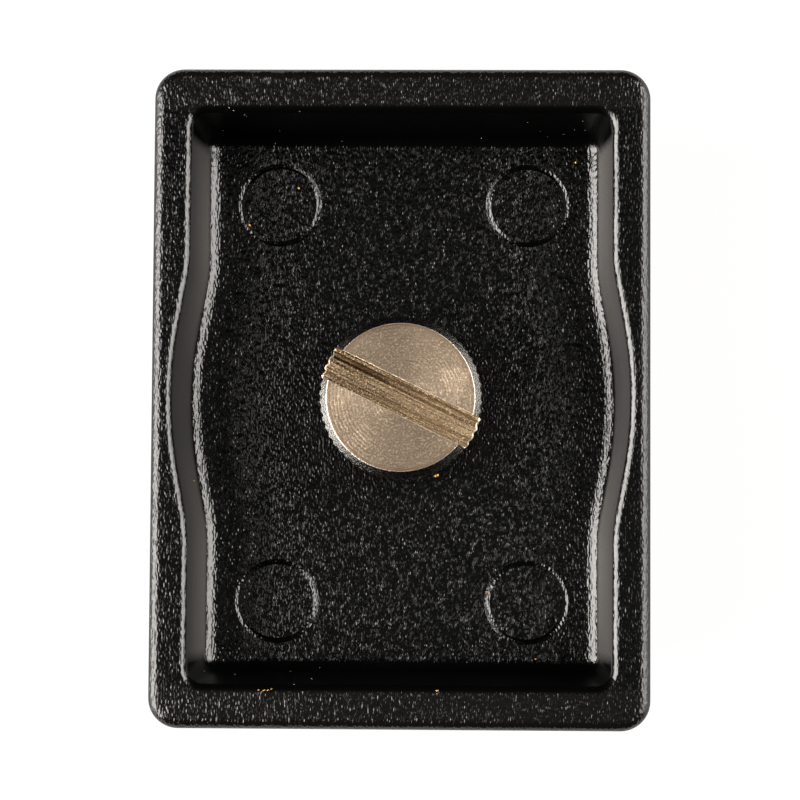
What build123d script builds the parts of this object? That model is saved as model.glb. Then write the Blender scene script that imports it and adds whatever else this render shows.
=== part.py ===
from build123d import *
import math
import os

# Tripod quick release plate, lying on its camera pad with the hollow side up.
# The frame: origin at the middle of the pad's contact face, +Y along the length, +Z towards the rim.
# All sizes are in millimetres and all angles in degrees.

# Die-cast plate: the outline at the rim and the height of the casting
PLATE_WIDTH = 38.25
PLATE_LENGTH = 50.7
CASTING_HEIGHT = 13.0
PLATE_CORNER_RADIUS = 2.3
RIM_FILLET = 0.85

# Dovetail round the outside: a narrow neck on the camera side that flares out to the full outline
NECK_INSET = 2.4
NECK_HEIGHT = 2.5
NECK_CORNER_RADIUS = 2.3
NECK_EDGE_CHAMFER = 0.4
FLARE_HEIGHT = 4.5
FLARE_FILLET = 0.5

# Pocket in the hollow side: drafted walls, the two long ones bulging outwards beside the screw head
POCKET_DEPTH = 8.0
SIDE_RIM_WIDTH = 2.95
END_RIM_WIDTH = 3.35
SIDE_DRAFT = 4.9
END_DRAFT = 6.6
BULGE_DEPTH = 1.36
BULGE_ANGLE = 10.6
BULGE_RADIUS = 31.0
BULGE_END_RADIUS = 12.0
POCKET_CORNER_RADIUS = 1.2
POCKET_LIP_FILLET = 0.75
POCKET_FLOOR_FILLET = 1.0

# Round witness marks that the ejector pins of the die left in the pocket floor
EJECTOR_DIAMETER = 6.6
EJECTOR_SPACING_X = 19.7
EJECTOR_SPACING_Y = 31.5
EJECTOR_GROOVE_WIDTH = 0.6
EJECTOR_GROOVE_DEPTH = 0.16

# Ribbed rubber pad that lies in a shallow tray on the camera side
PAD_THICKNESS = 1.8
PAD_PROUD = 1.0
PAD_LEDGE = 1.2
PAD_CORNER_RADIUS = 1.0
PAD_HOLE_DIAMETER = 11.0
PAD_BORDER = 1.6
PAD_GROOVE_PITCH = 2.4
PAD_GROOVE_WIDTH = 1.0
PAD_GROOVE_DEPTH = 0.5
PAD_CLEARANCE = 0.1

# Captive camera screw, 1/4 inch thread, at rest with its tip level with the pad
THREAD_DIAMETER = 6.35
THREAD_TIP_CHAMFER = 0.6
THREAD_REACH = 4.1
SHANK_DIAMETER = 6.0
HEAD_DIAMETER = 12.6
HEAD_HEIGHT = 3.2
HEAD_TOP_CHAMFER = 0.6
HEAD_UNDER_CHAMFER = 0.3
KNURL_COUNT = 56
KNURL_DEPTH = 0.15
KNURL_FLAT = 0.12
SLOT_WIDTH = 2.6
SLOT_DEPTH = 1.3
SLOT_ANGLE = -26.0

# Hole and counterbore that the screw runs in, and the ring that keeps it captive
SCREW_HOLE_CLEARANCE = 0.225
LIP_THICKNESS = 1.0
COUNTERBORE_DIAMETER = 10.0
RING_DIAMETER = 9.3
RING_THICKNESS = 0.7
RING_BAND = 1.25
RING_LUG_WIDTH = 1.6
RING_LUG_ANGLE = 52.0
RING_MOUTH = 3.3
RING_GROOVE_DIAMETER = 4.0
RING_CLEARANCE = 0.05

# Margin by which a cutting tool stands proud of the face that it cuts
CUT_MARGIN = 1.0

# Levels above the pad's contact face
PAD_SIDE = PAD_PROUD
TRAY_FLOOR = PAD_THICKNESS
RIM = PAD_SIDE + CASTING_HEIGHT
POCKET_FLOOR = RIM - POCKET_DEPTH
LIP_UNDERSIDE = POCKET_FLOOR - LIP_THICKNESS
HEAD_UNDERSIDE = POCKET_FLOOR + THREAD_REACH
HEAD_TOP = HEAD_UNDERSIDE + HEAD_HEIGHT
RING_TOP = LIP_UNDERSIDE - RING_CLEARANCE
RING_BOTTOM = RING_TOP - RING_THICKNESS

# Plan sizes that follow from the outline
NECK_WIDTH = PLATE_WIDTH - 2 * NECK_INSET
NECK_LENGTH = PLATE_LENGTH - 2 * NECK_INSET
TRAY_WIDTH = NECK_WIDTH - 2 * PAD_LEDGE
TRAY_LENGTH = NECK_LENGTH - 2 * PAD_LEDGE
PAD_WIDTH = TRAY_WIDTH - 2 * PAD_CLEARANCE
PAD_LENGTH = TRAY_LENGTH - 2 * PAD_CLEARANCE


def plan(width, length, radius, level):
    """Rectangle with round corners, centred on the screw axis at a level."""
    return Pos(0, 0, level) * RectangleRounded(width, length, radius)


def dovetail_block():
    """The casting's outside: neck, flare and land, with its edges rounded or chamfered."""
    flare_start = PAD_SIDE + NECK_HEIGHT
    flare_end = flare_start + FLARE_HEIGHT
    neck = plan(NECK_WIDTH, NECK_LENGTH, NECK_CORNER_RADIUS, flare_start)
    land = plan(PLATE_WIDTH, PLATE_LENGTH, PLATE_CORNER_RADIUS, flare_end)
    block = extrude(neck, -NECK_HEIGHT)
    block += loft([neck, land], ruled=True)
    block += extrude(land, RIM - flare_end)
    for level in (flare_start, flare_end):
        block = fillet(block.edges().filter_by_position(Axis.Z, level, level), FLARE_FILLET)
    block = fillet(block.faces().sort_by(Axis.Z)[-1].edges(), RIM_FILLET)
    return chamfer(block.faces().sort_by(Axis.Z)[0].edges(), NECK_EDGE_CHAMFER)


def pocket_outline():
    """Closed outline of the pocket at the rim, as a face."""
    half_width = PLATE_WIDTH / 2 - SIDE_RIM_WIDTH
    half_length = PLATE_LENGTH / 2 - END_RIM_WIDTH

    # A bulge is two end arcs and a middle arc, joined by slanted straight stretches
    turn = math.radians(BULGE_ANGLE)
    radii = BULGE_RADIUS + BULGE_END_RADIUS
    slant = (BULGE_DEPTH - radii * (1 - math.cos(turn))) / math.sin(turn)
    reach = radii * math.sin(turn) + slant * math.cos(turn)

    end_arc = JernArc((half_width, reach), (0, -1), BULGE_END_RADIUS, BULGE_ANGLE)
    slant_out = Line(end_arc @ 1, end_arc @ 1 + (end_arc % 1) * slant)
    middle_arc = JernArc(slant_out @ 1, end_arc % 1, BULGE_RADIUS, -2 * BULGE_ANGLE)
    slant_in = Line(middle_arc @ 1, middle_arc @ 1 + (middle_arc % 1) * slant)
    last_arc = JernArc(slant_in @ 1, middle_arc % 1, BULGE_END_RADIUS, BULGE_ANGLE)
    half = [
        Line((half_width, half_length), (half_width, reach)),
        end_arc,
        slant_out,
        middle_arc,
        slant_in,
        last_arc,
        Line((half_width, -reach), (half_width, -half_length)),
        Line((half_width, -half_length), (-half_width, -half_length)),
    ]
    return make_face(half + [edge.rotate(Axis.Z, 180) for edge in half])


def pocket():
    """The hollow as a solid, standing proud of the rim, with drafted walls and rounded edges."""
    rim_plane = Plane.XY.offset(RIM)
    hollow = extrude(Pos(0, 0, POCKET_FLOOR) * pocket_outline(), POCKET_DEPTH + CUT_MARGIN)
    end_walls = hollow.faces().filter_by(Axis.Y)
    hollow = draft(end_walls, rim_plane, -END_DRAFT)
    long_walls = [face for face in hollow.faces() if abs(face.normal_at().X) > abs(face.normal_at().Y)]
    hollow = draft(long_walls, rim_plane, -SIDE_DRAFT)
    rising = [edge for edge in hollow.edges() if edge.bounding_box().size.Z > CUT_MARGIN]
    corners = sorted(rising, key=lambda edge: abs(edge.center().Y))[-4:]
    hollow = fillet(corners, POCKET_CORNER_RADIUS)
    return fillet(hollow.faces().sort_by(Axis.Z)[0].edges(), POCKET_FLOOR_FILLET)


def ejector_marks():
    """Shallow V-shaped rings in the pocket floor, one for each ejector pin."""
    radius = (EJECTOR_DIAMETER - EJECTOR_GROOVE_WIDTH) / 2
    section = Polyline(
        (radius, -EJECTOR_GROOVE_DEPTH),
        (radius + EJECTOR_GROOVE_WIDTH, EJECTOR_GROOVE_DEPTH),
        (radius - EJECTOR_GROOVE_WIDTH, EJECTOR_GROOVE_DEPTH),
        close=True,
    )
    ring = Pos(0, 0, POCKET_FLOOR) * revolve(make_face(Plane.XZ * section), Axis.Z)
    return [place * ring for place in GridLocations(EJECTOR_SPACING_X, EJECTOR_SPACING_Y, 2, 2)]


def upright_cylinder(diameter, bottom, top):
    """Cylinder on the screw axis between two levels."""
    return Pos(0, 0, bottom) * Cylinder(
        diameter / 2, top - bottom, align=(Align.CENTER, Align.CENTER, Align.MIN)
    )


def plate_casting():
    """The one-piece plate: dovetail block, pocket, pad tray, screw hole and counterbore."""
    hole_diameter = THREAD_DIAMETER + 2 * SCREW_HOLE_CLEARANCE
    tray = plan(TRAY_WIDTH, TRAY_LENGTH, PAD_CORNER_RADIUS, TRAY_FLOOR)
    casting = dovetail_block() - pocket()
    rim_face = casting.faces().filter_by(Axis.Z).sort_by(Axis.Z)[-1]
    casting = fillet(rim_face.inner_wires()[0].edges(), POCKET_LIP_FILLET)
    casting -= extrude(tray, -(TRAY_FLOOR - PAD_SIDE + CUT_MARGIN))
    casting -= upright_cylinder(hole_diameter, LIP_UNDERSIDE - CUT_MARGIN, POCKET_FLOOR + CUT_MARGIN)
    casting -= upright_cylinder(COUNTERBORE_DIAMETER, TRAY_FLOOR - CUT_MARGIN, LIP_UNDERSIDE)
    return casting - ejector_marks()


def friction_pad():
    """Rubber pad with cross grooves that stop short of its border and of its middle hole."""
    pad = extrude(plan(PAD_WIDTH, PAD_LENGTH, PAD_CORNER_RADIUS, 0), PAD_THICKNESS)
    pad -= upright_cylinder(PAD_HOLE_DIAMETER, -CUT_MARGIN, PAD_THICKNESS + CUT_MARGIN)
    count = int((PAD_LENGTH - 2 * PAD_BORDER) // PAD_GROOVE_PITCH)
    groove = Rectangle(PAD_WIDTH - 2 * PAD_BORDER, PAD_GROOVE_WIDTH)
    grooves = Sketch() + [place * groove for place in GridLocations(1, PAD_GROOVE_PITCH, 1, count)]
    grooves -= Circle(PAD_HOLE_DIAMETER / 2 + PAD_BORDER)
    return pad - extrude(grooves, PAD_GROOVE_DEPTH)


def knurl_grooves():
    """V grooves round the screw head, parallel to its axis."""
    radius = HEAD_DIAMETER / 2
    mouth = math.pi * HEAD_DIAMETER / KNURL_COUNT - KNURL_FLAT
    section = Polyline(
        (radius - KNURL_DEPTH, 0),
        (radius + KNURL_DEPTH, mouth),
        (radius + KNURL_DEPTH, -mouth),
        close=True,
    )
    groove = extrude(Pos(0, 0, HEAD_UNDERSIDE) * make_face(section), HEAD_HEIGHT)
    return [place * groove for place in PolarLocations(0, KNURL_COUNT)]


def camera_screw():
    """Turned screw: knurled and slotted head, plain shank, ring groove and thread."""
    head = HEAD_DIAMETER / 2
    thread = THREAD_DIAMETER / 2
    profile = Polyline(
        (0, HEAD_TOP),
        (head - HEAD_TOP_CHAMFER, HEAD_TOP),
        (head, HEAD_TOP - HEAD_TOP_CHAMFER),
        (head, HEAD_UNDERSIDE + HEAD_UNDER_CHAMFER),
        (head - HEAD_UNDER_CHAMFER, HEAD_UNDERSIDE),
        (SHANK_DIAMETER / 2, HEAD_UNDERSIDE),
        (SHANK_DIAMETER / 2, RING_TOP + RING_CLEARANCE),
        (RING_GROOVE_DIAMETER / 2, RING_TOP + RING_CLEARANCE),
        (RING_GROOVE_DIAMETER / 2, RING_BOTTOM - RING_CLEARANCE),
        (thread, RING_BOTTOM - RING_CLEARANCE),
        (thread, THREAD_TIP_CHAMFER),
        (thread - THREAD_TIP_CHAMFER, 0),
        (0, 0),
        close=True,
    )
    screw = revolve(make_face(Plane.XZ * profile), Axis.Z)
    screw -= knurl_grooves()
    slot = Box(HEAD_DIAMETER + 2 * CUT_MARGIN, SLOT_WIDTH, SLOT_DEPTH + CUT_MARGIN)
    slot_middle = HEAD_TOP + (CUT_MARGIN - SLOT_DEPTH) / 2
    return screw - Pos(0, 0, slot_middle) * Rot(0, 0, SLOT_ANGLE) * slot


def retaining_ring():
    """Snap ring with an open mouth and three lugs that stand in the screw's groove."""
    outer = RING_DIAMETER / 2
    bore = Circle(RING_GROOVE_DIAMETER / 2 + RING_CLEARANCE)
    lug = Pos(outer / 2, 0) * Rectangle(outer, RING_LUG_WIDTH)
    lug_angles = (90, RING_LUG_ANGLE - 90, -RING_LUG_ANGLE - 90)
    ring = Circle(outer) - Circle(outer - RING_BAND)
    ring += [Rot(0, 0, angle) * lug for angle in lug_angles]
    ring = (ring & Circle(outer)) - bore
    ring -= Pos(0, -outer / 2) * Rectangle(RING_MOUTH, outer)
    return extrude(Pos(0, 0, RING_BOTTOM) * ring, RING_THICKNESS)


os.makedirs("parts", exist_ok=True)
export_step(plate_casting(), "parts/plate_casting.step")
export_step(friction_pad(), "parts/friction_pad.step")
export_step(camera_screw(), "parts/camera_screw.step")
export_step(retaining_ring(), "parts/retaining_ring.step")
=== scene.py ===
import math
from contextlib import contextmanager

import bmesh
import bpy
from bpy.props import FloatProperty, FloatVectorProperty, IntProperty, PointerProperty
from mathutils import Matrix, Vector, noise
from mathutils.bvhtree import BVHTree


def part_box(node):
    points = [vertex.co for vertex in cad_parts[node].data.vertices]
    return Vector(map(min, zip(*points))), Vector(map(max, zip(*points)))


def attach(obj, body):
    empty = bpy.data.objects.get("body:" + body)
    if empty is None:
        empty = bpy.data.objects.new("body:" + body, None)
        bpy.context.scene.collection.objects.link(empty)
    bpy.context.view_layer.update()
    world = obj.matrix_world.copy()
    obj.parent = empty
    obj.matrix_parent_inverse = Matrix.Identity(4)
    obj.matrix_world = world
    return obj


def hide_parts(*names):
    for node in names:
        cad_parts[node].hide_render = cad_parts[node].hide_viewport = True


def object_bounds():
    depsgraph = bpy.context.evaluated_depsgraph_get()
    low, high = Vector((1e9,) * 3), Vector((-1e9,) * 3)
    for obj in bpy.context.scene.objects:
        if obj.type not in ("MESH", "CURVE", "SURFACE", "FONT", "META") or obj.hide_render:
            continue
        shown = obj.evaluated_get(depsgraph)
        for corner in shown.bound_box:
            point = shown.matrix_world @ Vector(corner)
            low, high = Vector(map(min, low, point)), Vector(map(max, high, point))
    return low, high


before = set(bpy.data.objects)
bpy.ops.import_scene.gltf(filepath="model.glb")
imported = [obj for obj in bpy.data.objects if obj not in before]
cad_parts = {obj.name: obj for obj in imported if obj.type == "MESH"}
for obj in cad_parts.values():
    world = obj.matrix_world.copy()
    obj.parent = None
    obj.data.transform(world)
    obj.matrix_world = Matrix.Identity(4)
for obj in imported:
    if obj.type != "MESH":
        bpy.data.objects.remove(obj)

bl_info = {
    "name": "Quick Release Plate",
    "version": (1, 0, 0),
    "blender": (4, 5, 0),
    "location": "3D View > Sidebar > Plate",
    "description": "Finishes a tripod quick release plate and sets it on a studio stage",
    "category": "Object",
}

# The frame is in metres, so sizes below are written in millimetres times MM
MM = 0.001

# Boxes of the model and of its pieces, as they come from the frame
MODEL_LOW, MODEL_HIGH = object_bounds()
SCREW_LOW, SCREW_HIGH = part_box("camera_screw")
RING_LOW, RING_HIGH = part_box("retaining_ring")
RIM_LEVEL = MODEL_HIGH.z
POCKET_DEPTH = 8.0 * MM
FLOOR_LEVEL = RIM_LEVEL - POCKET_DEPTH
HEAD_TOP = SCREW_HIGH.z

# Ejector marks: place in one quarter of the floor, radius, and how far their grooves reach
MARK_PLACE = (9.85 * MM, 15.75 * MM)
MARK_RADIUS = 3.0 * MM
MARK_REACH = 0.32 * MM

# Meshing: edges that turn by more degrees than these stay sharp
CASTING_SHARP, SCREW_SHARP, PAD_SHARP = 20, 28, 50
MERGE_DISTANCE = 0.0005 * MM
COLUMNS_PER_TOOTH = 8
SLOT_ROWS, SLOT_COLUMNS = 220, 64
BURR_STEP = 0.06 * MM

# Screw: share of a knurl tooth that is flat crest, and room beside the retaining ring
KNURL_CREST = 0.12
RING_PLAY = 0.05 * MM

# Stage, in metres
TABLE_RADIUS = 1.5
TABLE_SIDES = 96
PANEL_REACH = 0.45
CARD_HEIGHT, CARD_SIZE = 0.6, 0.25
LAMP_COLOUR = (1.0, 0.96, 0.92)

# The image that the camera is set for
IMAGE_SIZE = 800
IMAGE_CENTRE = (400.3, 396.6)
PIXELS_PER_METRE = 13.096 / MM
SENSOR_WIDTH = 36.0

# Dust on the paint: place across and along the plate and size, in millimetres
BRASS_GRAINS = (
    (-12.37, 14.16, 0.36), (-8.42, 17.15, 0.26), (-16.35, -6.35, 0.22), (6.76, -14.94, 0.24),
    (10.64, -20.18, 0.22), (2.92, -22.32, 0.22), (13.72, 19.29, 0.26), (2.73, -5.76, 0.4),
    (-10.63, -22.36, 0.13), (-10.21, -22.38, 0.16), (-10.33, -22.42, 0.11), (-9.92, -22.37, 0.14),
    (-9.66, -22.28, 0.15),
)
PALE_GRAINS = (
    (-13.32, 22.24, 0.11), (-13.01, 22.07, 0.1), (-12.23, 21.87, 0.1), (-12.1, 21.82, 0.1),
    (-14.32, 21.37, 0.13), (-9.82, 21.35, 0.08), (-7.89, 22.0, 0.08), (-10.33, 20.71, 0.1),
    (-4.96, 20.9, 0.09), (6.18, 21.1, 0.1), (9.71, 21.64, 0.08), (10.78, 21.35, 0.09),
    (11.43, 21.18, 0.1), (12.66, 21.27, 0.1), (13.47, 21.41, 0.1), (14.33, 21.4, 0.1),
    (14.01, 21.69, 0.12), (-14.12, -19.49, 0.13), (-6.41, -20.97, 0.11), (-6.81, -21.63, 0.16),
    (-7.97, -21.95, 0.12), (-8.67, -21.21, 0.1), (-12.89, -21.41, 0.1), (-15.27, -21.18, 0.1),
)


def setting(kind, scale=None, **fixed):
    """A maker of properties of one kind, from a label, a description and a default value."""

    def make(name, description, value):
        default = value if scale is None else value * scale
        return kind(name=name, description=description, default=default, **fixed)

    return make


# Values that the user can change: millimetres, degrees, colours and plain numbers
length = setting(FloatProperty, MM, unit="LENGTH", precision=5)
angle = setting(FloatProperty, math.radians(1), subtype="ANGLE")
colour = setting(FloatVectorProperty, subtype="COLOR", size=3, min=0.0, max=1.0)
factor = setting(FloatProperty, min=0.0)


class PaintSettings(bpy.types.PropertyGroup):
    """Wrinkle paint on the die casting."""

    black: colour("Black", "Colour of the paint film", (0.001, 0.001, 0.001))
    roughness: factor("Roughness", "Roughness of the paint film itself", 0.16)
    wall_roughness: factor("Wall Roughness", "Roughness of the film on the long walls", 0.66)
    # Painted sheen: a grey colour on the long walls that stands in for their reflection of the
    # panels across the pocket
    film: colour("Wall Film", "Dusty film on the pocket's long walls", (0.119, 0.11, 0.102))
    # Painted sheen: a lighter colour for the ends of the rim, which stands in for their brighter
    # sheen
    dust: colour("Rim Dust", "Thin dust on the ends of the rim", (0.0042, 0.004, 0.0038))
    # Painted shade: the end walls get a dull copy of the paint that reflects almost nothing
    end_roughness: factor("End Roughness", "Roughness of the dull film on the end walls", 0.4)
    edge_roughness: factor("Edge Roughness", "Roughness of the outer edge that a clamp rubs", 0.28)
    grain: length("Grain", "Size of one wrinkle of the paint", 0.3)
    relief: length("Relief", "Height that the wrinkles are given", 0.078)
    mark_width: factor("Mark Width", "Share of a mark's width that stays open", 0.72)
    mark_depth: factor("Mark Depth", "Share of a mark's depth that stays open", 0.55)
    mark_spread: length("Mark Spread", "Growth of an ejector mark's radius", 0.11)


class ScrewSettings(bpy.types.PropertyGroup):
    """Turned camera screw with a knurled, slotted head."""

    head_diameter: length("Head Diameter", "Over the crests of the knurl", 12.6)
    head_height: length("Head Height", "From the underside to the face", 3.2)
    top_chamfer: length("Top Chamfer", "Chamfer round the face", 0.6)
    under_chamfer: length("Under Chamfer", "Chamfer round the underside", 0.3)
    edge_break: length("Edge Break", "Rounding between face and chamfer", 0.12)
    knurl_count: IntProperty(
        name="Knurl Teeth", description="Teeth round the head", default=56, min=8
    )
    knurl_depth: length("Knurl Depth", "Depth of the grooves between the teeth", 0.15)
    shank_diameter: length("Shank Diameter", "Plain neck under the head", 6.0)
    groove_diameter: length("Groove Diameter", "Floor of the groove for the retaining ring", 4.0)
    thread_diameter: length("Thread Diameter", "Over the crests of the thread", 6.35)
    thread_pitch: length("Thread Pitch", "Rise of the thread in one turn", 1.27)
    thread_depth: length("Thread Depth", "From crest to root", 0.7)
    tip_chamfer: length("Tip Chamfer", "Chamfer at the end of the thread", 0.6)
    slot_width: length("Slot Width", "Between the two walls of the slot", 2.6)
    slot_depth: length("Slot Depth", "Below the face of the head", 1.3)
    slot_angle: angle("Slot Angle", "Turn of the slot from the X axis", -26.0)
    plating: colour("Plating", "Thin warm nickel over brass", (0.335, 0.262, 0.188))
    brass: colour("Brass", "Bare metal in the slot", (0.4, 0.305, 0.195))
    nickel: colour("Nickel", "Plating on the chamfer and the knurl", (0.22, 0.21, 0.195))
    tarnish: colour("Tarnish", "Brown ring next to the edge of the face", (0.28, 0.18, 0.11))
    burr: colour("Burr", "Bright metal that the cutter has pushed up", (0.85, 0.72, 0.55))


class DustSettings(bpy.types.PropertyGroup):
    """Dust that lies on the paint."""

    brass: colour("Brass Dust", "Grains of brass from the thread", (0.95, 0.55, 0.16))
    pale: colour("Pale Dust", "Specks of household dust", (0.4, 0.4, 0.38))
    flatness: factor("Flatness", "Height of a grain as a share of its length", 0.45)


class PadSettings(bpy.types.PropertyGroup):
    """Ribbed rubber pad on the camera side."""

    rubber: colour("Rubber", "Colour of the rubber", (0.02, 0.02, 0.021))
    edge: length("Edge", "Rounding of the moulded edges", 0.12)
    grain: length("Grain", "Size of the fine moulded grain", 0.16)


class RingSettings(bpy.types.PropertyGroup):
    """Snap ring of spring steel."""

    steel: colour("Steel", "Colour of the phosphated steel", (0.12, 0.12, 0.125))


class StageSettings(bpy.types.PropertyGroup):
    """Floor, side panels and camera."""

    floor: colour("Floor", "Colour of the table", (0.45, 0.45, 0.45))
    panels: factor("Side Panels", "Brightness of the panels beside the object, as a share", 1.0)
    turn: angle("Panel Turn", "Turn of both banks of panels about the object", 10.0)
    fill: factor("Top Fill", "Brightness of the card above, where 1 is white", 0.06)
    distance: length("Camera Distance", "From the rim to the lens", 200.0)
    tilt: angle("Camera Tilt", "Lean of the view towards the near end", 3.54)
    swing: angle("Camera Swing", "Lean of the view towards the right side", 1.35)
    roll: angle("Camera Roll", "Turn of the picture", 0.262)


class NodeSheet:
    """Adds nodes to one node tree and links them, so that a tree reads as a list of steps."""

    def __init__(self, tree, owner=None):
        self.tree = tree
        self.owner = owner

    def feed(self, socket, value):
        """Links a socket or node to an input, or sets the input to a plain value."""
        if isinstance(value, bpy.types.Node):
            value = value.outputs[0]
        if isinstance(value, bpy.types.NodeSocket):
            self.tree.links.new(value, socket)
        elif socket.type == "RGBA":
            socket.default_value = (*value, 1.0)
        else:
            socket.default_value = value

    def add(self, kind, inputs=None, **settings):
        """A node with its settings, its inputs given by name or by place."""
        node = self.tree.nodes.new(kind)
        for name, value in settings.items():
            setattr(node, name, value)
        for key, value in (inputs or {}).items():
            self.feed(node.inputs[key], value)
        return node

    def math(self, operation, *values, clamp=False):
        """A Math node, as the socket of its result."""
        inputs = dict(enumerate(values))
        return self.add("ShaderNodeMath", inputs, operation=operation, use_clamp=clamp).outputs[0]

    def times(self, first, second):
        """The product of two numbers."""
        return self.math("MULTIPLY", first, second)

    def ramp(self, value, low, high, bottom=0.0, top=1.0):
        """A value taken from one range to another, and held at its ends."""
        node = self.add("ShaderNodeMapRange", {0: value, 1: low, 2: high, 3: bottom, 4: top})
        return node.outputs[0]

    def blend(self, share, first, second):
        """A mix of two numbers."""
        return self.add("ShaderNodeMix", {0: share, 2: first, 3: second}).outputs[0]

    def mix(self, share, first, second):
        """A mix of two colours."""
        node = self.add("ShaderNodeMix", {0: share, 6: first, 7: second}, data_type="RGBA")
        return node.outputs[2]

    def place(self):
        """Object coordinates."""
        return self.add("ShaderNodeTexCoord").outputs["Object"]

    def split(self, vector):
        """The three parts of a vector."""
        return self.add("ShaderNodeSeparateXYZ", {0: vector}).outputs

    def join(self, *parts):
        """A vector of three parts."""
        return self.add("ShaderNodeCombineXYZ", dict(enumerate(parts)))

    def bump(self, height, distance, **others):
        """A Bump node at full strength, unless another is given."""
        inputs = {"Strength": 1.0, "Distance": distance, "Height": height, **others}
        return self.add("ShaderNodeBump", inputs)

    def principled(self, tint, roughness, **others):
        """A Principled shader, with other inputs under their names with low lines for spaces."""
        inputs = {"Base Color": tint, "Roughness": roughness}
        inputs.update({name.replace("_", " "): value for name, value in others.items()})
        return self.add("ShaderNodeBsdfPrincipled", inputs)


def new_material(name):
    """The node sheet of an empty material."""
    material = bpy.data.materials.new(name)
    material.use_nodes = True
    material.node_tree.nodes.clear()
    return NodeSheet(material.node_tree, material)


def object_noise(sheet, size, detail=2.0, roughness=0.5, stretch=(1, 1, 1)):
    """Noise on object coordinates whose grain has about the given size."""
    turned = sheet.add("ShaderNodeMapping", {"Vector": sheet.place(), "Scale": stretch})
    inputs = {"Vector": turned, "Scale": 1 / size, "Detail": detail, "Roughness": roughness}
    return sheet.add("ShaderNodeTexNoise", inputs).outputs[0]


def close_material(sheet, shader):
    """Sends a shader to the output of a material, as the material."""
    sheet.add("ShaderNodeOutputMaterial", {"Surface": shader})
    return sheet.owner


def scaled(rgb, share):
    """A lighter or darker colour, held at white."""
    return tuple(min(1.0, share * value) for value in rgb)


def inward_mask(sheet, place, part, low, high):
    """Mask of the faces that look inwards along one axis, by that part of their normal."""
    inwards = sheet.math("LESS_THAN", sheet.times(place, part), 0.0)
    return sheet.times(sheet.ramp(sheet.math("ABSOLUTE", part), low, high), inwards)


def eased_normal(sheet, normal, level):
    """Normal that sweeps more slowly through the fillets of the floor, where paint has run."""
    facing = sheet.split(normal)
    tilt = sheet.math("ARCCOSINE", sheet.math("MINIMUM", facing[2], 1.0))

    # First and last tilt of each stretch and the turn made over it, in degrees
    eased = 0.0
    for stretch in ((0, 6, 14), (6, 50, 24), (50, 80, 42)):
        low, high, rise = (math.radians(value) for value in stretch)
        eased = sheet.math("ADD", eased, sheet.ramp(tilt, low, high, 0.0, rise))
    foot = sheet.times(
        sheet.ramp(level, FLOOR_LEVEL - 0.01 * MM, FLOOR_LEVEL),
        sheet.ramp(level, FLOOR_LEVEL + 0.8 * MM, FLOOR_LEVEL + 1.0 * MM, 1.0, 0.0),
    )
    eased = sheet.blend(foot, tilt, eased)
    reach = sheet.math("MAXIMUM", sheet.math("SINE", tilt), 0.001)
    swing = sheet.math("DIVIDE", sheet.math("SINE", eased), reach)
    sideways = (sheet.times(part, swing) for part in facing[:2])
    return sheet.join(*sideways, sheet.math("COSINE", eased))


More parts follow.
